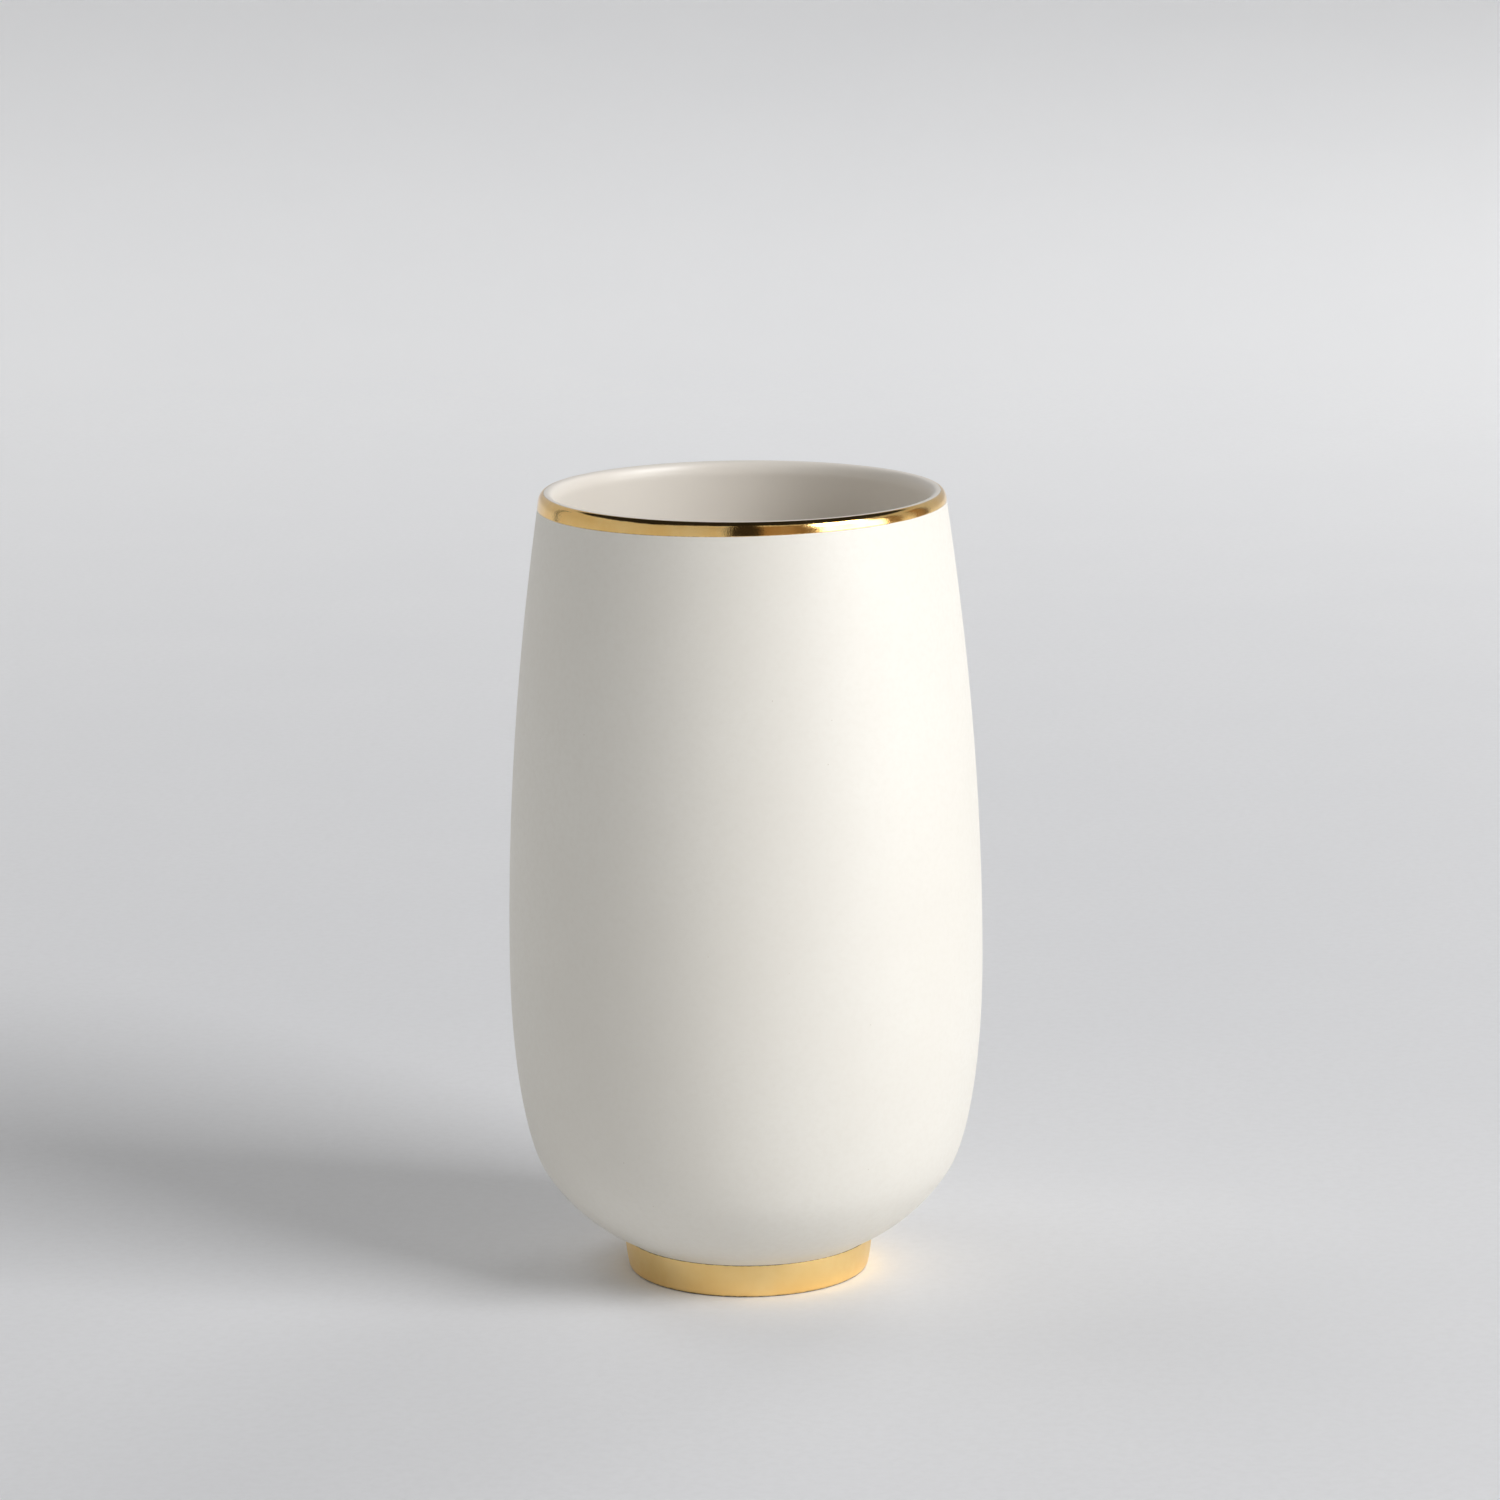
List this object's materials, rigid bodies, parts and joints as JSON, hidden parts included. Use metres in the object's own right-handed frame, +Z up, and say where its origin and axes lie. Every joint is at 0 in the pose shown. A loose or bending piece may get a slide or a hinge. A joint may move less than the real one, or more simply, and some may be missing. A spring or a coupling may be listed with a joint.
{
  "type": "porcelain vase",
  "caption": "Wide-mouthed porcelain vase: a tall rounded body tapering to an open mouth, on a low foot ring, with a gilded rim and a gilded foot.",
  "frame": {"origin": "centre of the foot ring's bearing face, on the surface that the vase stands on", "axes": "+Z up along the vase's axis of revolution; +X and +Y are any two directions across it"},
  "size_m": [0.1902, 0.1902, 0.318],
  "materials": {
    "bare_porcelain": "warm white unglazed porcelain, satin-matt and finely sanded",
    "clear_glaze": "clear glossy glaze over warm white porcelain",
    "polished_gold": "bright polished gold lustre with a fine brushed grain",
    "satin_gold": "satin gold lustre, faintly cloudy"
  },
  "bodies": {
    "root": {"porcelain_body": "bare_porcelain", "foot_ring": "bare_porcelain", "interior_glaze": "clear_glaze", "rim_gilding": "polished_gold", "foot_gilding": "satin_gold"}
  },
  "joints": []
}
